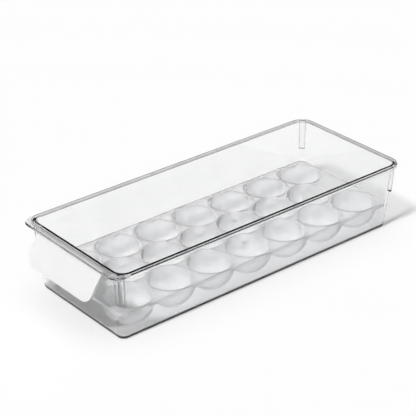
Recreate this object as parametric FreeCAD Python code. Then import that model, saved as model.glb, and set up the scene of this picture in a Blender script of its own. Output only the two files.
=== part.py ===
import FreeCAD, Part
import math
import os

from FreeCAD import Vector

# Egg holder: a clear drafted bin with a clip-on front handle and a lift-out egg tray.
# Millimetres. +Z up, the handle faces -Y, the origin is the bottom centre of the whole object.

# ---- bin ----
bin_width = 150.0             # across the rim
bin_length = 367.3            # front edge of the ledge to back edge of the rim
bin_height = 73.0
wall = 1.9
floor_thickness = 2.2
side_lean = 5.4               # degrees, outward lean of the side and back walls
front_lean = 3.9              # degrees, outward lean of the front wall
base_corner_radius = 7.0      # vertical corners at the floor, outside
floor_edge_radius = 1.6       # rounding under the outside of the floor
inner_floor_radius = 1.6

# rolled rim: a flat top with a lip hanging outside it, open underneath
rim_width = 5.1
rim_drop = 3.7                # height of the lip
rim_thickness = 1.8
rim_corner_radius = 15.0
rim_edge_radius = 0.7

# ledge that carries the rim's top forward over the handle
ledge_depth = 5.3
ledge_thickness = 2.0
ledge_corner_radius = 12.0

# pads on the four corners, which stop nested bins from jamming
pad_width = 7.0
pad_drop = 28.3               # from the underside of the lip down to the pad's foot
pad_stand = 2.2               # how far the foot stands off the corner
pad_lean = 3.5                # degrees
pad_edge_radius = 1.2

# dimples left by the mould at the foot of the two long sides
gate_mark_radius = 1.1
gate_mark_gap = 0.4           # above the rounding under the floor

# ---- handle ----
handle_width = 101.4
handle_reach = 12.4           # tip of the flap ahead of the ledge
handle_drop = 28.2            # tip of the flap below the lip
handle_bow = 1.8              # how far the flap's face bulges from a straight line
handle_thickness = 2.4
handle_root_depth = 3.6       # top of the handle, wall to front
handle_root_height = 9.3
handle_corner_radius = 11.5
handle_edge_radius = 0.7
handle_clearance = 0.12

# snap bead on the front wall, which clips into a groove in the back of the handle
bead_radius = 0.8
bead_drop = 4.6               # centre of the bead below the lip
bead_inset = 8.0              # from each end of the handle to the end of the bead

# ---- egg tray ----
cup_radius = 22.3             # inside the mouth, for eggs about 44 mm across
cup_wall = 2.3
cup_web = 1.6                 # least plastic between two mouths
cup_floor = 2.1
cup_foot_radius = 11.4        # flat under each bowl, which stands on the bin's floor
deck_rise = 4.0               # top of the deck above the centre of the bowls
deck_thickness = 1.9
skirt_depth = 3.8
tray_clearance = 0.45         # between the skirt and the bin's walls
cup_side_margin = 0.3         # between a bowl and the outside of the skirt, along the sides
cup_end_margin = 1.5          # the same at the two ends
tray_corner_radius = 7.5
mouth_edge_radius = 0.6
deck_edge_radius = 0.6

overcut = 2.0                 # how far a cutting solid runs past the face it opens


# ---- places that several pieces share ----
overall_length = bin_length + handle_reach
rim_back = overall_length / 2
ledge_front = rim_back - bin_length
lip_front = ledge_front + ledge_depth
lip_bottom = bin_height - rim_drop
wall_top_offset = rim_width - wall
cup_outer_radius = cup_radius + cup_wall
cup_centre = floor_thickness + math.sqrt(cup_outer_radius ** 2 - cup_foot_radius ** 2)
deck_top = cup_centre + deck_rise


def lean(degrees, height):
    """Sideways shift of a leaning wall over a height."""
    return math.tan(math.radians(degrees)) * height


def wall_outline(z, inset):
    """Half width, front, back and corner radius of the walls at height z, inset from outside."""
    below_top = bin_height - z
    half = bin_width / 2 - wall_top_offset - lean(side_lean, below_top) - inset
    front = lip_front + wall_top_offset + lean(front_lean, below_top) + inset
    back = rim_back - wall_top_offset - lean(side_lean, below_top) - inset
    top_radius = rim_corner_radius - wall_top_offset
    radius = top_radius + (base_corner_radius - top_radius) * below_top / bin_height - inset
    return half, front, back, radius


def rounded_rectangle(z, half, front, back, radius):
    """Closed wire of four lines and four arcs, flat at height z."""
    diagonal = radius * (1 - math.sqrt(0.5))
    corners = [
        (half, back, -1, -1),
        (-half, back, 1, -1),
        (-half, front, 1, 1),
        (half, front, -1, 1),
    ]
    edges = []
    stations = []
    for index, (x, y, towards_x, towards_y) in enumerate(corners):
        on_side = Vector(x, y + towards_y * radius, z)
        on_end = Vector(x + towards_x * radius, y, z)
        middle = Vector(x + towards_x * diagonal, y + towards_y * diagonal, z)
        if index % 2:
            on_side, on_end = on_end, on_side
        stations.append((on_side, middle, on_end))
    for index, (start, middle, end) in enumerate(stations):
        following = stations[(index + 1) % len(stations)][0]
        edges.append(Part.Arc(start, middle, end).toShape())
        edges.append(Part.makeLine(end, following))
    return Part.Wire(edges)


def upright_block(low, high, half, front, back, radius):
    """Prism on a rounded rectangle, from height low to height high."""
    face = Part.Face(rounded_rectangle(low, half, front, back, radius))
    return face.extrude(Vector(0, 0, high - low))


def drafted_block(low, high, inset):
    """Solid that follows the leaning walls, inset from their outside."""
    lower = rounded_rectangle(low, *wall_outline(low, inset))
    upper = rounded_rectangle(high, *wall_outline(high, inset))
    return Part.makeLoft([lower, upper], True, True)


def edges_at(shape, z):
    """Edges of a shape that lie flat at height z."""
    tolerance = 1e-4
    found = []
    for edge in shape.Edges:
        box = edge.BoundBox
        if abs(box.ZMin - z) < tolerance and abs(box.ZMax - z) < tolerance:
            found.append(edge)
    return found


# ---- bin ----
def make_rim():
    half = bin_width / 2
    block = upright_block(lip_bottom, bin_height, half, lip_front, rim_back, rim_corner_radius)
    ledge_back = lip_front + rim_corner_radius + overcut
    ledge = upright_block(bin_height - ledge_thickness, bin_height, half,
                          ledge_front, ledge_back + ledge_corner_radius, ledge_corner_radius)
    behind = Part.makeBox(bin_width, bin_length, bin_height, Vector(-half, ledge_back, 0))
    ledge = ledge.cut(behind)
    channel = upright_block(lip_bottom - overcut, bin_height - rim_thickness,
                            half - rim_thickness, lip_front + rim_thickness,
                            rim_back - rim_thickness, rim_corner_radius - rim_thickness)
    rim = block.fuse(ledge).removeSplitter()
    return rim.makeFillet(rim_edge_radius, edges_at(rim, bin_height)).cut(channel)


def make_corner_pad(side, end):
    """Pad on one corner: a leaning block on the corner's diagonal, with a rounded foot."""
    foot = lip_bottom - pad_drop
    half, front, back, radius = wall_outline(foot, 0)
    corner_y = back - radius if end > 0 else front + radius
    centre = Vector(side * (half - radius), corner_y, foot)
    stand = radius + pad_stand
    top = bin_height - rim_thickness - foot
    lip_reach = stand + lean(pad_lean, top)
    profile = [
        Vector(0, -pad_width / 2, 0),
        Vector(stand, -pad_width / 2, 0),
        Vector(lip_reach, -pad_width / 2, top),
        Vector(0, -pad_width / 2, top),
    ]
    pad = Part.Face(Part.makePolygon(profile + profile[:1])).extrude(Vector(0, pad_width, 0))
    outer = [edge for edge in pad.Edges if edge.BoundBox.XMin > radius]
    lower = [edge for edge in outer if edge.BoundBox.ZMin < top / 2]
    pad = pad.makeFillet(pad_edge_radius, lower)
    angle = math.degrees(math.atan2(end, side))
    pad.rotate(Vector(0, 0, 0), Vector(0, 0, 1), angle)
    pad.translate(centre)
    return pad


def make_bead():
    """Half-round bead along the front wall; its other half is buried in the wall."""
    z = lip_bottom - bead_drop
    y = wall_outline(z, 0)[1]
    length = handle_width - 2 * bead_inset
    return Part.makeCylinder(bead_radius, length, Vector(-length / 2, y, z), Vector(1, 0, 0))


def make_bin():
    body = drafted_block(0, bin_height, 0)
    body = body.makeFillet(floor_edge_radius, edges_at(body, 0))
    pads = [make_corner_pad(side, end) for side in (-1, 1) for end in (-1, 1)]
    outline = upright_block(0, bin_height - rim_thickness, bin_width / 2 - rim_thickness / 2,
                            lip_front + rim_thickness / 2, rim_back - rim_thickness / 2,
                            rim_corner_radius - rim_thickness / 2)
    pads = [pad.common(outline) for pad in pads]
    body = body.multiFuse([make_rim(), make_bead()] + pads)
    hollow = drafted_block(floor_thickness, bin_height + overcut, wall)
    hollow = hollow.makeFillet(inner_floor_radius, edges_at(hollow, floor_thickness))
    body = body.cut(hollow)
    gate_z = floor_edge_radius + gate_mark_gap + gate_mark_radius
    half, front, back, _ = wall_outline(gate_z, 0)
    for side in (-1, 1):
        place = Vector(side * (half + gate_mark_radius / 2), (front + back) / 2, gate_z)
        body = body.cut(Part.makeSphere(gate_mark_radius, place))
    return body.removeSplitter()


# ---- handle ----
def flap_points():
    """Top, middle and tip of the flap's front face, as (y, z)."""
    wall_face = wall_outline(lip_bottom, 0)[1]
    top = Vector(0, wall_face - handle_root_depth, lip_bottom)
    tip = Vector(0, ledge_front - handle_reach, lip_bottom - handle_drop)
    run = tip.sub(top)
    outward = Vector(0, run.z, -run.y).normalize()
    middle = top.add(run * 0.5).add(outward * handle_bow)
    return top, middle, tip


def face_outline(body, face_circle):
    """Side, corner and bottom edges of the flap's front face."""
    tolerance = 1e-4
    found = []
    for edge in body.Edges:
        first, last = edge.ParameterRange
        points = [edge.valueAt(first), edge.valueAt((first + last) / 2), edge.valueAt(last)]
        from_axis = [math.hypot(point.y - face_circle.Center.y, point.z - face_circle.Center.z)
                     for point in points]
        on_face = all(abs(radius - face_circle.Radius) < tolerance for radius in from_axis)
        under_lip = all(abs(point.z - lip_bottom) < tolerance for point in points)
        if on_face and not under_lip:
            found.append(edge)
    return found


def make_handle():
    """Bowed flap with a solid root under the lip and a tongue in the rim's channel."""
    half = handle_width / 2
    top, middle, tip = flap_points()
    face_circle = Part.Circle(top, middle, tip)
    centre = face_circle.Center
    inner_radius = face_circle.Radius - handle_thickness
    inwards = [point.sub(centre).normalize() * inner_radius for point in (top, middle, tip)]
    inner_top, inner_middle, inner_tip = [centre.add(step) for step in inwards]
    flap = Part.Wire([
        Part.Arc(top, middle, tip).toShape(),
        Part.makeLine(tip, inner_tip),
        Part.Arc(inner_tip, inner_middle, inner_top).toShape(),
        Part.makeLine(inner_top, top),
    ])
    flap = Part.Face(flap).extrude(Vector(handle_width, 0, 0))
    flap.translate(Vector(-half, 0, 0))

    # the root fills the wedge between the flap and the front wall
    root_bottom = lip_bottom - handle_root_height
    back_top = wall_outline(lip_bottom, 0)[1] - handle_clearance
    back_bottom = wall_outline(root_bottom, 0)[1] - handle_clearance
    drop = centre.z - root_bottom
    mid_radius = face_circle.Radius - handle_thickness / 2
    front_bottom = centre.y - math.sqrt(mid_radius ** 2 - drop ** 2)
    root_top = Vector(-half, top.y, lip_bottom)
    root = Part.makePolygon([
        root_top,
        Vector(-half, front_bottom, root_bottom),
        Vector(-half, back_bottom, root_bottom),
        Vector(-half, back_top, lip_bottom),
        root_top,
    ])
    root = Part.Face(root).extrude(Vector(handle_width, 0, 0))

    # the tongue stands in the channel between the lip and the front wall
    tongue_front = lip_front + rim_thickness + handle_clearance
    tongue_back = wall_outline(bin_height, 0)[1] - handle_clearance
    tongue_height = rim_drop - rim_thickness - handle_clearance
    tongue_length = handle_width - 2 * bead_inset
    tongue = Part.makeBox(tongue_length, tongue_back - tongue_front, tongue_height + overcut,
                          Vector(-tongue_length / 2, tongue_front, lip_bottom - overcut))

    # front view: two rounded lower corners
    outline = Part.makeBox(handle_width, 2 * overall_length, 2 * bin_height,
                           Vector(-half, -overall_length, tip.z))
    lower_corners = [edge for edge in outline.Edges
                     if edge.BoundBox.YLength > overall_length and edge.BoundBox.ZMax < bin_height]
    outline = outline.makeFillet(handle_corner_radius, lower_corners)

    body = flap.fuse(root).common(outline).removeSplitter()
    body = body.makeFillet(handle_edge_radius, face_outline(body, face_circle))

    groove_radius = bead_radius + handle_clearance
    groove_z = lip_bottom - bead_drop
    groove_length = tongue_length + 2 * handle_clearance
    groove = Part.makeCylinder(groove_radius, groove_length,
                               Vector(-groove_length / 2, wall_outline(groove_z, 0)[1], groove_z),
                               Vector(1, 0, 0))
    return body.fuse(tongue).cut(groove).removeSplitter()


# ---- egg tray ----
def tray_layout():
    """Places of the cups: staggered rows, as many as the bin takes, spread evenly."""
    half, front, back, _ = wall_outline(deck_top - skirt_depth, wall + tray_clearance)
    reach_x = half - cup_side_margin - cup_outer_radius
    reach_y = (back - front) / 2 - cup_end_margin - cup_outer_radius
    least_gap = 2 * cup_radius + cup_web
    per_row = int(2 * reach_y / least_gap) + 1
    pitch = 2 * reach_y / (per_row - 1)
    least_row_gap = math.sqrt(least_gap ** 2 - (pitch / 2) ** 2)
    rows = int(2 * reach_x / least_row_gap) + 1
    row_gap = 2 * reach_x / (rows - 1)
    middle_y = (front + back) / 2
    cups = []
    for row in range(rows):
        short = row % 2
        for place in range(per_row - short):
            x = -reach_x + row * row_gap
            y = middle_y - reach_y + (place + short / 2) * pitch
            cups.append((x, y))
    return cups


def bowl_outline(radius, bottom):
    """Half section of a round bowl with a flat bottom, from its axis up to its centre height."""
    flat = math.sqrt(radius ** 2 - (cup_centre - bottom) ** 2)
    slope = math.radians(45)
    bend = Vector(radius * math.cos(slope), 0, cup_centre - radius * math.sin(slope))
    return [
        Part.makeLine(Vector(0, 0, bottom), Vector(flat, 0, bottom)),
        Part.Arc(Vector(flat, 0, bottom), bend, Vector(radius, 0, cup_centre)).toShape(),
    ]


def turned(edges):
    """Solid turned about the Z axis from the edges of its half section."""
    return Part.Face(Part.Wire(edges)).revolve(Vector(0, 0, 0), Vector(0, 0, 1), 360)


def cup_outside():
    """Outside of one cup, with straight sides above its centre."""
    foot = floor_thickness
    rim = Vector(cup_outer_radius, 0, deck_top)
    axis_top = Vector(0, 0, deck_top)
    return turned(bowl_outline(cup_outer_radius, foot) + [
        Part.makeLine(Vector(cup_outer_radius, 0, cup_centre), rim),
        Part.makeLine(rim, axis_top),
        Part.makeLine(axis_top, Vector(0, 0, foot)),
    ])


def cup_inside():
    """Hollow of one cup, with a rounded mouth that opens through the deck."""
    bottom = floor_thickness + cup_floor
    below = Vector(cup_radius, 0, deck_top - mouth_edge_radius)
    mouth = Vector(cup_radius + mouth_edge_radius, 0, deck_top)
    step = mouth_edge_radius * (1 - math.sqrt(0.5))
    bend = Vector(cup_radius + step, 0, deck_top - step)
    clear = Vector(mouth.x, 0, deck_top + overcut)
    axis_top = Vector(0, 0, clear.z)
    return turned(bowl_outline(cup_radius, bottom) + [
        Part.makeLine(Vector(cup_radius, 0, cup_centre), below),
        Part.Arc(below, bend, mouth).toShape(),
        Part.makeLine(mouth, clear),
        Part.makeLine(clear, axis_top),
        Part.makeLine(axis_top, Vector(0, 0, bottom)),
    ])


def make_tray():
    """Deck with a short skirt and one round-bottomed cup at each place of the layout."""
    skirt_bottom = deck_top - skirt_depth
    cups = tray_layout()

    lower = wall_outline(skirt_bottom, wall + tray_clearance)
    upper = wall_outline(deck_top, wall + tray_clearance)
    deck = Part.makeLoft([
        rounded_rectangle(skirt_bottom, *lower[:3], tray_corner_radius),
        rounded_rectangle(deck_top, *upper[:3], tray_corner_radius),
    ], True, True)
    deck = deck.makeFillet(deck_edge_radius, edges_at(deck, deck_top))
    half, front, back, _ = lower
    pocket = upright_block(skirt_bottom - overcut, deck_top - deck_thickness, half - cup_wall,
                           front + cup_wall, back - cup_wall, tray_corner_radius - cup_wall)
    deck = deck.cut(pocket)

    places = [Vector(x, y, 0) for x, y in cups]
    outside = cup_outside()
    inside = cup_inside()
    body = deck.multiFuse([outside.translated(place) for place in places])
    return body.cut([inside.translated(place) for place in places]).removeSplitter()


os.makedirs("parts", exist_ok=True)
for name, make in (("clear_bin", make_bin), ("front_handle", make_handle), ("egg_tray", make_tray)):
    shape = make()
    shape.exportStep(f"parts/{name}.step")
    size = shape.optimalBoundingBox()
    print(f"{name}: {size.XLength:.1f} x {size.YLength:.1f} x {size.ZLength:.1f} mm, "
          f"{len(shape.Solids)} solid, valid {shape.isValid()}, {shape.Volume / 1000:.1f} cm3")
print(f"cups: {len(tray_layout())}")
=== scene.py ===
import math

import bmesh
import bpy
from mathutils import Matrix, Vector


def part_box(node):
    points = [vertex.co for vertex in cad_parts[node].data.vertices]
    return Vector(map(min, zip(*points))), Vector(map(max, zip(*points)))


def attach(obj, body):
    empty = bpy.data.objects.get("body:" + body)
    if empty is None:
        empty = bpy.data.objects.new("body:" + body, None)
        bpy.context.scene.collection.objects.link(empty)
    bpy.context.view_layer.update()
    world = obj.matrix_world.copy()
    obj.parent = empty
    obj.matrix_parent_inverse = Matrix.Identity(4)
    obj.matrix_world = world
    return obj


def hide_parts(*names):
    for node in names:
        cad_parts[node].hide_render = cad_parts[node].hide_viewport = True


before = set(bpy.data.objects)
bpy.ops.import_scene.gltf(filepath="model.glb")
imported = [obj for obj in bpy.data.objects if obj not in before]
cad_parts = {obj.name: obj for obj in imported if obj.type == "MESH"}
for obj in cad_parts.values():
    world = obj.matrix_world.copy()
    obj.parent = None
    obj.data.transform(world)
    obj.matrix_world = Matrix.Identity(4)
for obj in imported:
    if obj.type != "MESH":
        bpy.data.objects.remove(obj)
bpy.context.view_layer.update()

# Egg holder: clear bin, satin white pull handle and a frosted lift-out tray with staggered cups.
# The dictionaries hold millimetres and degrees, in the same frame as the CAD.

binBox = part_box("clear_bin")
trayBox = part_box("egg_tray")
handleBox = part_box("front_handle")
print("frame loaded")

mm = 0.001
weldDistance = 1e-6       # metres; points closer than this become one
sliverLength = 1e-7       # metres; edges shorter than this are dropped
bevelSteps = 4            # faces across a bevelled edge
crispAngle = 33           # edges sharper than this stay crisp
flatWeight = 80           # how strongly a flat face keeps its shading flat

binSizes = {
    "wall": 1.9,
    "floor": 2.2,
    "sideLean": 5.4,
    "frontLean": 3.9,
    "baseRadius": 7.0,
    "floorRounding": 1.6,
    "innerRounding": 1.6,
    "rimWidth": 5.1,
    "rimDrop": 3.7,
    "rimThickness": 1.8,
    "rimRadius": 15.0,
    "rimRounding": 1.0,
    "mouthRounding": 0.3,     # inner edge of the rim's top
    "channelRounding": 0.3,   # fillets where the rim's plate meets the wall and the lip
    "lipRounding": 0.85,
    "ledgeDepth": 5.3,
    "ledgeThickness": 2.0,
    "ledgeRadius": 12.0,
    "cornerSteps": 24,
    "sideSteps": 4,           # lengths that each straight side is divided into
    "roundingSteps": 5,
}
padSizes = {
    "width": 7.0,
    "drop": 28.3,             # foot of the pad below the lip
    "stand": 2.2,             # foot ahead of the corner
    "lean": 3.5,
    "rounding": 1.2,
    "bury": 1.2,              # how far the pad goes into the corner
    "intoRim": 0.6,           # how far its top goes into the rim's plate
}
beadSizes = {"radius": 0.8, "drop": 4.6, "inset": 8.0, "sides": 32}
gateSizes = {"radius": 1.1, "gap": 0.4, "arcSteps": 12, "sides": 24}

binWidth = (binBox[1][0] - binBox[0][0]) / mm
binHeight = (binBox[1][2] - binBox[0][2]) / mm
rimBack = binBox[1][1] / mm
ledgeFront = binBox[0][1] / mm
lipFront = ledgeFront + binSizes["ledgeDepth"]
lipBottom = binHeight - binSizes["rimDrop"]
plateBottom = binHeight - binSizes["rimThickness"]
wallOffset = binSizes["rimWidth"] - binSizes["wall"]
shoulder = lipFront + binSizes["rimRadius"]
handleHalf = handleBox[1][0] / mm


def lean(degrees, height):
    # how far a leaning face moves over a height
    return math.tan(math.radians(degrees)) * height


def wallOutline(z, inset):
    # half width, front, back and corner radius of the leaning walls at height z
    below = binHeight - z
    half = binWidth / 2 - wallOffset - lean(binSizes["sideLean"], below) - inset
    front = lipFront + wallOffset + lean(binSizes["frontLean"], below) + inset
    back = rimBack - wallOffset - lean(binSizes["sideLean"], below) - inset
    topRadius = binSizes["rimRadius"] - wallOffset
    radius = topRadius + (binSizes["baseRadius"] - topRadius) * below / binHeight - inset
    return half, front, back, radius


def rimOutline(inset):
    return (binWidth / 2 - inset, lipFront + inset, rimBack - inset,
            binSizes["rimRadius"] - inset)


def quarterTurn(centre, radius, start, steps):
    angles = [math.radians(start + 90 * i / steps) for i in range(steps + 1)]
    return [(centre[0] + radius * math.cos(a), centre[1] + radius * math.sin(a)) for a in angles]


def ringPoints(outline, ledgeInset=None):
    # closed ring round a rounded rectangle, anticlockwise; a ledge inset carries its front out
    # to the ledge
    steps = binSizes["cornerSteps"]
    half, front, back, radius = outline
    corners = [
        quarterTurn((half - radius, front + radius), radius, -90, steps),
        quarterTurn((half - radius, back - radius), radius, 0, steps),
        quarterTurn((radius - half, back - radius), radius, 90, steps),
        quarterTurn((radius - half, front + radius), radius, 180, steps),
    ]
    if ledgeInset is not None:
        radius = binSizes["ledgeRadius"] - ledgeInset
        y = ledgeFront + ledgeInset + radius
        right = quarterTurn((half - radius, y), radius, -90, steps - 1)
        left = quarterTurn((radius - half, y), radius, 180, steps - 1)
        corners[0] = right + [(half, shoulder)]
        corners[3] = [(-half, shoulder)] + left
    points = []
    for corner, following in zip(corners, corners[1:] + corners[:1]):
        points += corner
        for i in range(1, binSizes["sideSteps"]):
            share = i / binSizes["sideSteps"]
            points.append(tuple(Vector(corner[-1]).lerp(Vector(following[0]), share)))
    return points


def rounding():
    # (run, rise) of a quarter round of radius 1, which starts flat and ends upright
    steps = binSizes["roundingSteps"]
    angles = [math.radians(90 * i / steps) for i in range(steps + 1)]
    return [(math.sin(a), 1 - math.cos(a)) for a in angles]


def pieceFromForm(name, form):
    # turns the faces outward and makes a piece of the form
    bmesh.ops.recalc_face_normals(form, faces=form.faces)
    mesh = bpy.data.meshes.new(name)
    form.to_mesh(mesh)
    form.free()
    piece = bpy.data.objects.new(name, mesh)
    bpy.context.collection.objects.link(piece)
    return piece


def shellFromRings(name, rings):
    # closed solid from rings of equal length, with a flat face over the first and the last
    form = bmesh.new()
    rows = [[form.verts.new((x * mm, y * mm, z * mm)) for x, y in points] for points, z in rings]
    count = len(rows[0])
    for lower, upper in zip(rows, rows[1:]):
        for i in range(count):
            j = (i + 1) % count
            form.faces.new((lower[i], lower[j], upper[j], upper[i]))
    form.faces.new(list(reversed(rows[0])))
    form.faces.new(rows[-1])
    bmesh.ops.remove_doubles(form, verts=form.verts, dist=weldDistance)
    bmesh.ops.dissolve_degenerate(form, edges=form.edges, dist=sliverLength)
    return pieceFromForm(name, form)


def lathe(name, profile, sides):
    # closed solid turned about Z from (radius, height) points that start and end on the axis
    form = bmesh.new()
    turn = [2 * math.pi * i / sides for i in range(sides)]
    rows = []
    for radius, z in profile:
        reach = radius * mm
        rows.append([form.verts.new((reach * math.cos(a), reach * math.sin(a), z * mm))
                     for a in (turn if radius else [0.0])])
    for lower, upper in zip(rows, rows[1:]):
        for i in range(sides):
            j = (i + 1) % sides
            corners = [row[k % len(row)]
                       for row, k in ((lower, i), (lower, j), (upper, j), (upper, i))]
            form.faces.new(list(dict.fromkeys(corners)))
    return pieceFromForm(name, form)


def blockFromCorners(name, lower, upper, bevel=0.0, bevelled=()):
    # six-sided solid from four lower and four upper corners; the two upright edges named, and
    # the lower edge between them, are rounded
    form = bmesh.new()
    low = [form.verts.new(Vector(c) * mm) for c in lower]
    high = [form.verts.new(Vector(c) * mm) for c in upper]
    form.faces.new(list(reversed(low)))
    form.faces.new(high)
    for i in range(4):
        j = (i + 1) % 4
        form.faces.new((low[i], low[j], high[j], high[i]))
    if bevel:
        bmesh.ops.recalc_face_normals(form, faces=form.faces)
        a, b = bevelled
        rounded = [{low[a], high[a]}, {low[b], high[b]}, {low[a], low[b]}]
        edges = [e for e in form.edges if set(e.verts) in rounded]
        bmesh.ops.bevel(form, geom=edges, offset=bevel * mm, segments=bevelSteps,
                        profile=0.5, affect="EDGES")
    return pieceFromForm(name, form)


def makePlain(piece):
    # replaces a piece's mesh by its evaluated result and drops its modifiers
    evaluated = piece.evaluated_get(bpy.context.evaluated_depsgraph_get())
    mesh = bpy.data.meshes.new_from_object(evaluated)
    mesh.name = piece.name
    piece.modifiers.clear()
    piece.data = mesh


def combine(piece, tool, operation):
    # joins the tool to the piece, or cuts it away, and drops the tool
    change = piece.modifiers.new("combine", "BOOLEAN")
    change.operation = operation
    change.solver = "MANIFOLD"
    change.object = tool
    makePlain(piece)
    bpy.data.objects.remove(tool)


def smooth(piece):
    # smooth curves, crisp edges, and flat faces that stay flat beside their rounded edges
    piece.data.polygons.foreach_set("use_smooth", [True] * len(piece.data.polygons))
    piece.data.set_sharp_from_angle(angle=math.radians(crispAngle))
    even = piece.modifiers.new("even", "WEIGHTED_NORMAL")
    even.keep_sharp = True
    even.weight = flatWeight
    makePlain(piece)


def binRings():
    s = binSizes
    curve = rounding()
    rings = []

    def wallRing(z, inset):
        rings.append((ringPoints(wallOutline(z, inset)), z))

    def rimRing(z, inset, ledge=False):
        rings.append((ringPoints(rimOutline(inset), inset if ledge else None), z))

    # outside, from under the floor up the wall
    r = s["floorRounding"]
    for run, rise in curve:
        wallRing(rise * r, (1 - run) * r)
    wallRing(plateBottom / 2, 0)
    # underside of the rim, then down and round the hanging lip
    r = s["channelRounding"]
    for run, rise in curve:
        wallRing(plateBottom - (1 - run) * r, -rise * r)
    for run, rise in curve:
        rimRing(plateBottom - rise * r, s["rimThickness"] + (1 - run) * r)
    r = s["lipRounding"]
    for run, rise in reversed(curve):
        rimRing(lipBottom + rise * r, s["rimThickness"] - (1 - run) * r)
    for run, rise in curve:
        rimRing(lipBottom + rise * r, (1 - run) * r)
    # out under the ledge, up its edge and over the top
    rimRing(binHeight - s["ledgeThickness"], 0)
    rimRing(binHeight - s["ledgeThickness"], 0, ledge=True)
    r = s["rimRounding"]
    for run, rise in reversed(curve):
        rimRing(binHeight - rise * r, (1 - run) * r, ledge=True)
    # inner edge of the rim, down the inside to the floor
    r = s["mouthRounding"]
    for run, rise in curve:
        wallRing(binHeight - rise * r, s["wall"] - (1 - run) * r)
    wallRing(binHeight / 2, s["wall"])
    r = s["innerRounding"]
    for run, rise in reversed(curve):
        wallRing(s["floor"] + rise * r, s["wall"] + (1 - run) * r)
    return rings


def cornerPad(side, end):
    # side and end are -1 or 1: left or right, front or back
    p = padSizes
    foot = lipBottom - p["drop"]
    top = plateBottom + p["intoRim"]

    def corner(z):
        half, front, back, radius = wallOutline(z, 0)
        y = back - radius if end > 0 else front + radius
        return Vector((side * (half - radius), y, z)), radius

    direction = Vector((side, end, 0)).normalized()
    across = Vector((-direction.y, direction.x, 0)) * p["width"] / 2
    low, lowRadius = corner(foot)
    high, highRadius = corner(top)
    lowFace = low + direction * (lowRadius + p["stand"])
    highFace = lowFace + Vector((0, 0, top - foot)) + direction * lean(p["lean"], top - foot)
    lowBack = low + direction * (lowRadius - p["bury"])
    highBack = high + direction * (highRadius - p["bury"])
    return blockFromCorners(
        "pad",
        [lowBack - across, lowFace - across, lowFace + across, lowBack + across],
        [highBack - across, highFace - across, highFace + across, highBack + across],
        p["rounding"], (1, 2))


def beadRod(name, spare=0.0):
    # rod along the snap bead's line on the front wall, bigger all round by the spare
    radius = beadSizes["radius"] + spare
    reach = handleHalf - beadSizes["inset"] + spare
    rod = lathe(name, [(0, -reach), (radius, -reach), (radius, reach), (0, reach)],
                beadSizes["sides"])
    z = lipBottom - beadSizes["drop"]
    centre = Vector((0, wallOutline(z, 0)[1], z))
    rod.data.transform(Matrix.Translation(centre * mm) @ Matrix.Rotation(math.pi / 2, 4, "Y"))
    return rod


def gateMark(side):
    # ball that leaves the mould's dimple at the foot of a long side
    r = gateSizes["radius"]
    steps = gateSizes["arcSteps"]
    arc = [math.radians(180 * i / steps - 90) for i in range(1, steps)]
    profile = [(0, -r)] + [(r * math.cos(a), r * math.sin(a)) for a in arc] + [(0, r)]
    ball = lathe("gate", profile, gateSizes["sides"])
    z = binSizes["floorRounding"] + gateSizes["gap"] + r
    half, front, back, _ = wallOutline(z, 0)
    place = Vector((side * (half + r / 2), (front + back) / 2, z))
    ball.data.transform(Matrix.Translation(place * mm))
    return ball


def makeBin():
    piece = shellFromRings("bin_shell", binRings())
    for side in (-1, 1):
        for end in (-1, 1):
            combine(piece, cornerPad(side, end), "UNION")
    combine(piece, beadRod("bead"), "UNION")
    for side in (-1, 1):
        combine(piece, gateMark(side), "DIFFERENCE")
    smooth(piece)
    return piece


binShell = makeBin()
print("bin made", len(binShell.data.polygons), "faces")

traySizes = {
    "cupRadius": 22.3,
    "cupWall": 2.3,
    "cupFloor": 2.1,
    "footRadius": 11.4,
    "rowCups": 7,             # in the two outer rows; the middle row has one fewer
    "sideMargin": 0.3,
    "endMargin": 1.5,
    "clearance": 0.45,
    "deckThickness": 1.9,
    "skirtDepth": 3.8,
    "cornerRadius": 7.5,
    "mouthRounding": 0.6,
    "deckRounding": 0.6,
    "restGap": 0.04,          # keeps the foot just clear of the floor under it
    "cupSides": 96,
    "bowlSteps": 18,
}

deckTop = trayBox[1][2] / mm
trayFloor = trayBox[0][2] / mm + traySizes["restGap"]
cupOuter = traySizes["cupRadius"] + traySizes["cupWall"]
cupCentre = trayFloor + math.sqrt(cupOuter ** 2 - traySizes["footRadius"] ** 2)


def deckOutline(z):
    half, front, back, _ = wallOutline(z, binSizes["wall"] + traySizes["clearance"])
    return half, front, back, traySizes["cornerRadius"]


def insetOutline(outline, inset):
    half, front, back, radius = outline
    return half - inset, front + inset, back - inset, radius - inset


def deckRings():
    s = traySizes
    skirtBottom = deckTop - s["skirtDepth"]
    pocket = insetOutline(deckOutline(skirtBottom), s["cupWall"])
    rings = [(ringPoints(pocket), deckTop - s["deckThickness"]),
             (ringPoints(pocket), skirtBottom),
             (ringPoints(deckOutline(skirtBottom)), skirtBottom)]
    r = s["deckRounding"]
    for run, rise in reversed(rounding()):
        z = deckTop - rise * r
        rings.append((ringPoints(insetOutline(deckOutline(z), (1 - run) * r)), z))
    return rings


def bowlProfile(radius, bottom):
    # half section of a round bowl, from the axis under its flat foot up to its centre height
    start = -math.asin((cupCentre - bottom) / radius)
    steps = traySizes["bowlSteps"]
    angles = [start * (1 - i / steps) for i in range(steps + 1)]
    return [(0, bottom)] + [(radius * math.cos(a), cupCentre + radius * math.sin(a))
                            for a in angles]


def cupOutside():
    top = deckTop - traySizes["deckThickness"] / 2
    profile = bowlProfile(cupOuter, trayFloor) + [(cupOuter, top), (0, top)]
    return lathe("cup_outside", profile, traySizes["cupSides"])


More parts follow.
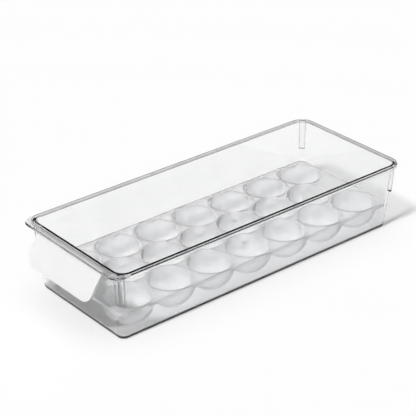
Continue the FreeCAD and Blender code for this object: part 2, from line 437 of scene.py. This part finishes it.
def cupInside():
    s = traySizes
    r = s["mouthRounding"]
    profile = bowlProfile(s["cupRadius"], trayFloor + s["cupFloor"])
    for run, rise in reversed(rounding()):
        profile.append((s["cupRadius"] + (1 - run) * r, deckTop - rise * r))
    over = deckTop + s["deckThickness"]
    profile += [(s["cupRadius"] + r, over), (0, over)]
    return lathe("cup_inside", profile, s["cupSides"])


def socket(tree, name, kind, value=None, output=False):
    item = tree.interface.new_socket(name, in_out="OUTPUT" if output else "INPUT",
                                     socket_type=kind)
    if value is not None:
        item.default_value = value


def feed(tree, slot, value):
    # links another node's output to an input, or sets the input to a number
    if isinstance(value, bpy.types.NodeSocket):
        tree.links.new(value, slot)
    else:
        slot.default_value = value


def calc(tree, operation, *values):
    node = tree.nodes.new("ShaderNodeMath")
    node.operation = operation
    for slot, value in zip(node.inputs, values):
        feed(tree, slot, value)
    return node.outputs[0]


def cupTree():
    # staggered rows of cups joined to the deck, then hollowed through it
    tree = bpy.data.node_groups.new("cup rows", "GeometryNodeTree")
    socket(tree, "Deck", "NodeSocketGeometry")
    socket(tree, "Cup Outside", "NodeSocketObject")
    socket(tree, "Cup Inside", "NodeSocketObject")
    socket(tree, "Row Gap", "NodeSocketFloat", 40 * mm)
    socket(tree, "Pitch", "NodeSocketFloat", 48 * mm)
    socket(tree, "First Cup", "NodeSocketFloat", 0.0)
    socket(tree, "Cups In Row", "NodeSocketInt", traySizes["rowCups"])
    socket(tree, "Finish", "NodeSocketMaterial")
    socket(tree, "Tray", "NodeSocketGeometry", output=True)
    nodes, links = tree.nodes, tree.links
    given = nodes.new("NodeGroupInput").outputs
    out = nodes.new("NodeGroupOutput")

    def row(count, x, y):
        place = nodes.new("ShaderNodeCombineXYZ")
        feed(tree, place.inputs["X"], x)
        feed(tree, place.inputs["Y"], y)
        step = nodes.new("ShaderNodeCombineXYZ")
        links.new(given["Pitch"], step.inputs["Y"])
        line = nodes.new("GeometryNodeMeshLine")
        line.mode = "OFFSET"
        links.new(count, line.inputs["Count"])
        links.new(place.outputs[0], line.inputs["Start Location"])
        links.new(step.outputs[0], line.inputs["Offset"])
        return line.outputs["Mesh"]

    first, gap, count = given["First Cup"], given["Row Gap"], given["Cups In Row"]
    between = calc(tree, "ADD", first, calc(tree, "MULTIPLY", given["Pitch"], 0.5))
    rows = nodes.new("GeometryNodeJoinGeometry")
    for line in (row(count, gap, first),
                 row(count, calc(tree, "MULTIPLY", gap, -1.0), first),
                 row(calc(tree, "SUBTRACT", count, 1.0), 0.0, between)):
        links.new(line, rows.inputs[0])

    def onRows(name):
        cup = nodes.new("GeometryNodeObjectInfo")
        cup.transform_space = "RELATIVE"
        links.new(given[name], cup.inputs["Object"])
        spread = nodes.new("GeometryNodeInstanceOnPoints")
        links.new(rows.outputs[0], spread.inputs["Points"])
        links.new(cup.outputs["Geometry"], spread.inputs["Instance"])
        return spread.outputs[0]

    def boolean(operation):
        node = nodes.new("GeometryNodeMeshBoolean")
        node.operation = operation
        node.solver = "MANIFOLD"
        return node

    join = boolean("UNION")
    links.new(given["Deck"], join.inputs["Mesh 2"])
    links.new(onRows("Cup Outside"), join.inputs["Mesh 2"])
    hollow = boolean("DIFFERENCE")
    links.new(join.outputs["Mesh"], hollow.inputs["Mesh 1"])
    links.new(onRows("Cup Inside"), hollow.inputs["Mesh 2"])
    real = nodes.new("GeometryNodeRealizeInstances")
    finish = nodes.new("GeometryNodeSetMaterial")
    links.new(hollow.outputs["Mesh"], real.inputs[0])
    links.new(real.outputs[0], finish.inputs["Geometry"])
    links.new(given["Finish"], finish.inputs["Material"])
    links.new(finish.outputs[0], out.inputs[0])
    return tree


def useTree(piece, tree, values):
    change = piece.modifiers.new(tree.name, "NODES")
    change.node_group = tree
    for item in tree.interface.items_tree:
        if item.item_type == "SOCKET" and item.in_out == "INPUT" and item.name in values:
            change[item.identifier] = values[item.name]
    makePlain(piece)


def makeTray(finish):
    s = traySizes
    piece = shellFromRings("tray", deckRings())
    outside, inside = cupOutside(), cupInside()
    half, front, back, _ = deckOutline(deckTop - s["skirtDepth"])
    reach = (back - front) / 2 - s["endMargin"] - cupOuter
    useTree(piece, cupTree(), {
        "Cup Outside": outside,
        "Cup Inside": inside,
        "Row Gap": (half - s["sideMargin"] - cupOuter) * mm,
        "Pitch": 2 * reach / (s["rowCups"] - 1) * mm,
        "First Cup": ((front + back) / 2 - reach) * mm,
        "Cups In Row": s["rowCups"],
        "Finish": finish,
    })
    bpy.data.objects.remove(outside)
    bpy.data.objects.remove(inside)
    smooth(piece)
    piece.name = "egg_cup_tray"
    return piece


handleSizes = {
    "reach": 12.05,           # tip of the flap ahead of the ledge
    "drop": 28.2,             # tip of the flap below the lip
    "bow": 1.8,
    "thickness": 2.4,
    "rootDepth": 3.6,
    "rootHeight": 9.3,
    "cornerRadius": 11.5,
    "rounding": 0.7,
    "roundedOver": 50,        # edges sharper than this are rounded
    "clearance": 0.12,
    "tongueBury": 1.0,        # how far the tongue goes down into the root
    "columns": 40,
    "rows": 30,
    "cornerRows": 14,
}


def handleArc():
    # centre and radius of the flap's front face, with its top and its tip, as (y, z)
    wallFace = wallOutline(lipBottom, 0)[1]
    top = Vector((wallFace - handleSizes["rootDepth"], lipBottom))
    tip = Vector((ledgeFront - handleSizes["reach"], lipBottom - handleSizes["drop"]))
    run = tip - top
    outward = Vector((run.y, -run.x)).normalized()
    bow = handleSizes["bow"]
    radius = (run.length ** 2 / 4 + bow ** 2) / (2 * bow)
    centre = (top + tip) / 2 - outward * (radius - bow)
    return centre, radius, top, tip


def arcFront(centre, radius, z):
    # how far forward the flap's arc is at height z
    return centre.x - math.sqrt(radius ** 2 - (z - centre.y) ** 2)


def handleFlap(centre, radius, top, tip):
    s = handleSizes
    corner, columns = s["cornerRadius"], s["columns"]
    bend = tip.y + corner
    # heights of the rows: even down to the lower corners, then closer round them
    heights = [top.y + (bend - top.y) * i / s["rows"] for i in range(s["rows"])]
    heights += [bend - corner * math.sin(math.radians(90 * i / s["cornerRows"]))
                for i in range(s["cornerRows"] + 1)]
    form = bmesh.new()

    def sheet(reach):
        rows = []
        for z in heights:
            into = max(0.0, bend - z)
            width = handleHalf - corner + math.sqrt(max(corner ** 2 - into ** 2, 0))
            y = arcFront(centre, reach, z)
            rows.append([form.verts.new(Vector((width * (2 * i / columns - 1), y, z)) * mm)
                         for i in range(columns + 1)])
        return rows

    front, back = sheet(radius), sheet(radius - s["thickness"])
    last = len(heights) - 1
    for j in range(last):
        for i in range(columns):
            form.faces.new((front[j][i], front[j][i + 1], front[j + 1][i + 1], front[j + 1][i]))
            form.faces.new((back[j][i], back[j + 1][i], back[j + 1][i + 1], back[j][i + 1]))
        for i in (0, columns):
            form.faces.new((front[j][i], front[j + 1][i], back[j + 1][i], back[j][i]))
    for i in range(columns):
        for j in (0, last):
            form.faces.new((front[j][i], front[j][i + 1], back[j][i + 1], back[j][i]))
    piece = pieceFromForm("pull_handle", form)
    soften = piece.modifiers.new("soften", "BEVEL")
    soften.width = s["rounding"] * mm
    soften.segments = bevelSteps
    soften.limit_method = "ANGLE"
    soften.angle_limit = math.radians(s["roundedOver"])
    makePlain(piece)
    return piece


def handleRoot(centre, middle):
    # block between the flap's middle and the front wall, under the lip

    def level(z):
        front = arcFront(centre, middle, z)
        back = wallOutline(z, 0)[1] - handleSizes["clearance"]
        return [(-handleHalf, front, z), (handleHalf, front, z),
                (handleHalf, back, z), (-handleHalf, back, z)]

    return blockFromCorners("root", level(lipBottom - handleSizes["rootHeight"]),
                            level(lipBottom))


def handleTongue():
    # tongue that fills the channel between the lip and the wall
    s = handleSizes
    half = handleHalf - beadSizes["inset"]
    front = lipFront + binSizes["rimThickness"] + s["clearance"]
    back = wallOutline(binHeight, 0)[1] - s["clearance"]

    def level(z):
        return [(-half, front, z), (half, front, z), (half, back, z), (-half, back, z)]

    return blockFromCorners("tongue", level(lipBottom - s["tongueBury"]),
                            level(plateBottom - binSizes["channelRounding"]))


def makeHandle():
    centre, radius, top, tip = handleArc()
    piece = handleFlap(centre, radius, top, tip)
    combine(piece, handleRoot(centre, radius - handleSizes["thickness"] / 2), "UNION")
    combine(piece, handleTongue(), "UNION")
    combine(piece, beadRod("groove", handleSizes["clearance"]), "DIFFERENCE")
    smooth(piece)
    return piece


pullHandle = makeHandle()
print("handle made", len(pullHandle.data.polygons), "faces")

# How each plastic looks. Tint is its clean colour and haze is where moulding flow and wear show.
# Gloss is its roughness, clean and worn. Shade is the light it lets through, met head on and at
# a slant.
clearLook = {
    "tint": (0.975, 0.977, 0.98),
    "haze": (0.94, 0.943, 0.95),
    "gloss": (0.004, 0.035),
    "relief": 0.06,
    "flowSize": 26.0,
    "grainSize": 900.0,
    "scratches": 0.5,
    "index": 1.53,
    "clarity": 1.0,
    "shade": ((1.0, 1.0, 1.0), (0.05, 0.05, 0.05)),
    "depthTint": (0.10, 0.12, 0.15),   # what is left of the light after a long way inside
    "depth": 12.0,
}
frostLook = {
    "tint": (0.985, 0.987, 0.992),
    "haze": (0.955, 0.96, 0.97),
    "gloss": (0.06, 0.13),
    "relief": 0.25,
    "flowSize": 34.0,
    "grainSize": 1600.0,
    "scratches": 0.4,
    "index": 1.49,
    "clarity": 0.72,
    "shade": ((0.995, 0.995, 0.995), (0.88, 0.88, 0.885)),
}
whiteLook = {
    "tint": (0.745, 0.745, 0.745),
    "haze": (0.71, 0.705, 0.70),
    "gloss": (0.36, 0.52),
    "relief": 0.35,
    "flowSize": 18.0,
    "grainSize": 2200.0,
    "scratches": 0.6,
    "index": 1.5,
    "softness": 0.08,
    "softReach": 1.5,
}
flowHaze = 0.45           # how much of the haze moulding flow brings without any wear
reliefDepth = 0.1
slantShade = {            # how soon the slanted shade comes in, and how far it goes at most
    "blend": 0.5,
    "power": 2.0,
    "most": 0.35,
}

# patterns of the marks: noise sizes, detail and the (low, high) of the noise that shows
markSizes = {
    "flowDetail": 3.0,
    "flowTwist": 0.6,
    "flowShows": (0.3, 0.7),
    "lineSize": 900.0,
    "lineDetail": 1.0,
    "lineStretch": (0.03, 1.0, 1.0),
    "lineTurns": ((20, 35, 62), (70, -25, -18)),
    "lineShows": (0.66, 0.74),
    "patchSize": 22.0,
    "patchShows": (0.48, 0.66),
    "patchWear": 0.35,
    "detail": 2.0,
    "grainHeight": 0.25,
    "flowHeight": 0.6,
}


def mouldedMarks():
    # shared effect: soft moulding flow, fine scratches and handling wear over a plastic surface
    m = markSizes
    group = bpy.data.node_groups.new("moulded marks", "ShaderNodeTree")
    socket(group, "Position", "NodeSocketVector")
    socket(group, "Flow Size", "NodeSocketFloat", 40.0)
    socket(group, "Grain Size", "NodeSocketFloat", 1500.0)
    socket(group, "Scratches", "NodeSocketFloat", 0.3)
    socket(group, "Flow", "NodeSocketFloat", output=True)
    socket(group, "Wear", "NodeSocketFloat", output=True)
    socket(group, "Height", "NodeSocketFloat", output=True)
    nodes, links = group.nodes, group.links
    given = nodes.new("NodeGroupInput").outputs
    out = nodes.new("NodeGroupOutput").inputs

    def noise(size, detail, position, twist=0.0):
        node = nodes.new("ShaderNodeTexNoise")
        node.inputs["Detail"].default_value = detail
        node.inputs["Distortion"].default_value = twist
        links.new(position, node.inputs["Vector"])
        feed(group, node.inputs["Scale"], size)
        return node.outputs["Fac"]

    def shows(value, limits):
        node = nodes.new("ShaderNodeMapRange")
        node.interpolation_type = "SMOOTHSTEP"
        node.inputs["From Min"].default_value, node.inputs["From Max"].default_value = limits
        links.new(value, node.inputs["Value"])
        return node.outputs["Result"]

    def stretched(turn):
        node = nodes.new("ShaderNodeMapping")
        node.inputs["Rotation"].default_value = [math.radians(a) for a in turn]
        node.inputs["Scale"].default_value = m["lineStretch"]
        links.new(given["Position"], node.inputs["Vector"])
        return node.outputs["Vector"]

    flow = shows(noise(given["Flow Size"], m["flowDetail"], given["Position"], m["flowTwist"]),
                 m["flowShows"])
    # two directions of long thin lines, kept only where patches of handling are
    lines = [shows(noise(m["lineSize"], m["lineDetail"], stretched(turn)), m["lineShows"])
             for turn in m["lineTurns"]]
    patches = shows(noise(m["patchSize"], m["detail"], given["Position"]), m["patchShows"])
    scratch = calc(group, "MULTIPLY", calc(group, "MAXIMUM", *lines), patches)
    scratch = calc(group, "MULTIPLY", scratch, given["Scratches"])
    grain = noise(given["Grain Size"], m["detail"], given["Position"])
    wear = calc(group, "MAXIMUM", scratch, calc(group, "MULTIPLY", patches, m["patchWear"]))
    height = calc(group, "SUBTRACT", calc(group, "MULTIPLY", grain, m["grainHeight"]), scratch)
    height = calc(group, "ADD", height, calc(group, "MULTIPLY", flow, m["flowHeight"]))
    links.new(flow, out["Flow"])
    links.new(wear, out["Wear"])
    links.new(height, out["Height"])
    return group


def blend(tree, factor, first, second):
    # colour between two others
    node = tree.nodes.new("ShaderNodeMix")
    node.data_type = "RGBA"
    node.inputs["A"].default_value = (*first, 1)
    node.inputs["B"].default_value = (*second, 1)
    tree.links.new(factor, node.inputs["Factor"])
    return node.outputs["Result"]


def plastic(name, marks, look):
    material = bpy.data.materials.new(name)
    material.use_nodes = True
    tree = material.node_tree
    nodes, links = tree.nodes, tree.links
    shader = nodes["Principled BSDF"]
    place = nodes.new("ShaderNodeTexCoord")
    effect = nodes.new("ShaderNodeGroup")
    effect.node_tree = marks
    effect.inputs["Flow Size"].default_value = look["flowSize"]
    effect.inputs["Grain Size"].default_value = look["grainSize"]
    effect.inputs["Scratches"].default_value = look["scratches"]
    links.new(place.outputs["Object"], effect.inputs["Position"])
    amount = calc(tree, "MULTIPLY_ADD", effect.outputs["Flow"], flowHaze, effect.outputs["Wear"])
    links.new(blend(tree, amount, look["tint"], look["haze"]), shader.inputs["Base Color"])
    rough = nodes.new("ShaderNodeMapRange")
    rough.inputs["To Min"].default_value, rough.inputs["To Max"].default_value = look["gloss"]
    links.new(effect.outputs["Wear"], rough.inputs["Value"])
    links.new(rough.outputs["Result"], shader.inputs["Roughness"])
    relief = nodes.new("ShaderNodeBump")
    relief.inputs["Strength"].default_value = look["relief"]
    relief.inputs["Distance"].default_value = reliefDepth * mm
    links.new(effect.outputs["Height"], relief.inputs["Height"])
    links.new(relief.outputs["Normal"], shader.inputs["Normal"])
    shader.inputs["IOR"].default_value = look["index"]
    return material, shader


def letLampsThrough(material, shade):
    # lamp and bounced light pass straight through, so that what stands under the plastic is lit
    tree = material.node_tree
    nodes, links = tree.nodes, tree.links
    paths = nodes.new("ShaderNodeLightPath").outputs
    either = calc(tree, "MAXIMUM", paths["Is Shadow Ray"], paths["Is Diffuse Ray"])
    # a wall that the light meets at a slant holds more of it back than one it meets head on
    slant = nodes.new("ShaderNodeLayerWeight")
    slant.inputs["Blend"].default_value = slantShade["blend"]
    steep = calc(tree, "POWER", slant.outputs["Facing"], slantShade["power"])
    passed = blend(tree, calc(tree, "MINIMUM", steep, slantShade["most"]), *shade)
    clear = nodes.new("ShaderNodeBsdfTransparent")
    links.new(passed, clear.inputs["Color"])
    mix = nodes.new("ShaderNodeMixShader")
    links.new(either, mix.inputs[0])
    links.new(nodes["Principled BSDF"].outputs[0], mix.inputs[1])
    links.new(clear.outputs[0], mix.inputs[2])
    links.new(mix.outputs[0], nodes["Material Output"].inputs["Surface"])


def makeFinishes():
    marks = mouldedMarks()
    clear, shader = plastic("clear polished plastic", marks, clearLook)
    shader.inputs["Transmission Weight"].default_value = clearLook["clarity"]
    letLampsThrough(clear, clearLook["shade"])
    depth = clear.node_tree.nodes.new("ShaderNodeVolumeAbsorption")
    depth.inputs["Color"].default_value = (*clearLook["depthTint"], 1)
    depth.inputs["Density"].default_value = clearLook["depth"]
    clear.node_tree.links.new(depth.outputs[0],
                              clear.node_tree.nodes["Material Output"].inputs["Volume"])
    frost, shader = plastic("frosted plastic", marks, frostLook)
    shader.inputs["Transmission Weight"].default_value = frostLook["clarity"]
    letLampsThrough(frost, frostLook["shade"])
    white, shader = plastic("satin white plastic", marks, whiteLook)
    shader.inputs["Subsurface Weight"].default_value = whiteLook["softness"]
    shader.inputs["Subsurface Radius"].default_value = [whiteLook["softReach"] * mm] * 3
    return clear, frost, white


def paintAll(piece, material):
    # one material all over, whatever empty slots the cutting left
    piece.data.materials.clear()
    piece.data.materials.append(material)
    piece.data.polygons.foreach_set("material_index", [0] * len(piece.data.polygons))


clearPlastic, frostedPlastic, whitePlastic = makeFinishes()
eggTray = makeTray(frostedPlastic)
paintAll(binShell, clearPlastic)
paintAll(pullHandle, whitePlastic)
print("tray made", len(eggTray.data.polygons), "faces")

for piece, node, body, finish in (
        (binShell, "clear_bin", "bin", "clear_plastic"),
        (pullHandle, "front_handle", "bin", "white_plastic"),
        (eggTray, "egg_tray", "tray", "frosted_plastic")):
    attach(piece, body)
    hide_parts(node)
print("pieces placed")

studio = {
    "floorSide": 40.0,        # metres
    "floorGap": 0.2,          # floor under the bin's foot
    "floorGrey": 0.94,
    "floorRoughness": 0.9,
    "surround": 0.03,
    "sweepGlow": 1.02,
    "sweep": (0.16, 0.30),    # sine of the angle above the horizon where the sweep fades out
    "keyStrength": 3.05,
    "keyHeading": (-10, 50, -73),
    "keySpread": 7.0,
    "fillStrength": 0.8,
    "fillSpread": 60.0,
    "strips": (               # name, place and size in metres, power in watts
        ("left strip", (-0.55, -1.25, 0.55), (0.16, 1.0), 3.0),
        ("right strip", (1.25, 0.35, 0.55), (0.16, 1.0), 3.0),
        ("top strip", (-0.16, 0.14, 1.5), (0.22, 0.8), 3.3),
    ),
    "bounces": {"max": 32, "transmission": 28, "transparent": 32},
}

cameraSizes = {               # place in metres, lens and sensor in millimetres
    "place": (0.99080, -0.83151, 0.73851),
    "azimuth": 50.2371,
    "elevation": 27.8583,
    "roll": -0.24727,
    "lens": 128.07,
    "sensor": 36.0,
    "shift": (-0.0012, 0.0012),
    "farthest": 50,
}


def makeFloor():
    reach = studio["floorSide"] / 2
    mesh = bpy.data.meshes.new("floor")
    mesh.from_pydata([(-reach, -reach, 0), (reach, -reach, 0), (reach, reach, 0),
                      (-reach, reach, 0)], [], [(0, 1, 2, 3)])
    floor = bpy.data.objects.new("studio_floor", mesh)
    floor.location.z = -studio["floorGap"] * mm
    bpy.context.collection.objects.link(floor)
    paint = bpy.data.materials.new("studio floor")
    paint.use_nodes = True
    shader = paint.node_tree.nodes["Principled BSDF"]
    shader.inputs["Base Color"].default_value = (*[studio["floorGrey"]] * 3, 1)
    shader.inputs["Roughness"].default_value = studio["floorRoughness"]
    shader.inputs["Specular IOR Level"].default_value = 0.0
    mesh.materials.append(paint)


def addLamp(name, kind, energy):
    lamp = bpy.data.lights.new(name, kind)
    lamp.energy = energy
    thing = bpy.data.objects.new(name, lamp)
    bpy.context.collection.objects.link(thing)
    return thing


def makeLamps():
    # the suns light the scene and stay out of its reflections; the strips only show in those
    s = studio
    key = addLamp("key", "SUN", s["keyStrength"])
    key.data.angle = math.radians(s["keySpread"])
    key.rotation_euler = Vector(s["keyHeading"]).to_track_quat("-Z", "Y").to_euler()
    fill = addLamp("fill", "SUN", s["fillStrength"])
    fill.data.angle = math.radians(s["fillSpread"])
    for sun in (key, fill):
        sun.visible_glossy = sun.visible_transmission = False
    for name, place, size, energy in s["strips"]:
        strip = addLamp(name, "AREA", energy)
        strip.data.shape = "RECTANGLE"
        strip.data.size, strip.data.size_y = size
        strip.location = place
        strip.visible_diffuse = False
        strip.rotation_euler = (-Vector(place)).to_track_quat("-Z", "Y").to_euler()


def makeRoom():
    # a white sweep that rises a little above the floor, and a dim ceiling over it
    world = bpy.data.worlds.new("studio")
    world.use_nodes = True
    nodes, links = world.node_tree.nodes, world.node_tree.links
    heading = nodes.new("ShaderNodeTexCoord")
    parts = nodes.new("ShaderNodeSeparateXYZ")
    links.new(heading.outputs["Generated"], parts.inputs[0])
    sweep = nodes.new("ShaderNodeMapRange")
    sweep.interpolation_type = "SMOOTHSTEP"
    sweep.inputs["From Min"].default_value, sweep.inputs["From Max"].default_value = studio["sweep"]
    sweep.inputs["To Min"].default_value = studio["sweepGlow"]
    sweep.inputs["To Max"].default_value = studio["surround"]
    links.new(parts.outputs["Z"], sweep.inputs["Value"])
    links.new(sweep.outputs["Result"], nodes["Background"].inputs["Strength"])
    nodes["Background"].inputs["Color"].default_value = (1, 1, 1, 1)
    bpy.context.scene.world = world
    world.cycles_visibility.diffuse = False   # only the lamps light what isn't shiny or clear


def makeCamera():
    c = cameraSizes
    a, e, r = [math.radians(c[k]) for k in ("azimuth", "elevation", "roll")]
    back = Vector((math.sin(a) * math.cos(e), -math.cos(a) * math.cos(e), math.sin(e)))
    level = Vector((math.cos(a), math.sin(a), 0))
    up = back.cross(level)
    right = level * math.cos(r) + up * math.sin(r)
    up = back.cross(right)
    camera = bpy.data.objects.new("camera", bpy.data.cameras.new("camera"))
    camera.data.lens = c["lens"]
    camera.data.sensor_width = c["sensor"]
    camera.data.shift_x, camera.data.shift_y = c["shift"]
    camera.data.clip_end = c["farthest"]
    turn = Matrix((right, up, back)).transposed().to_4x4()
    camera.matrix_world = Matrix.Translation(c["place"]) @ turn
    bpy.context.collection.objects.link(camera)
    bpy.context.scene.camera = camera


makeFloor()
makeLamps()
makeRoom()
makeCamera()
bpy.context.scene.view_settings.view_transform = "Standard"
cycles = bpy.context.scene.cycles
cycles.max_bounces = studio["bounces"]["max"]
cycles.transmission_bounces = studio["bounces"]["transmission"]
cycles.transparent_max_bounces = studio["bounces"]["transparent"]
print("studio and camera ready")
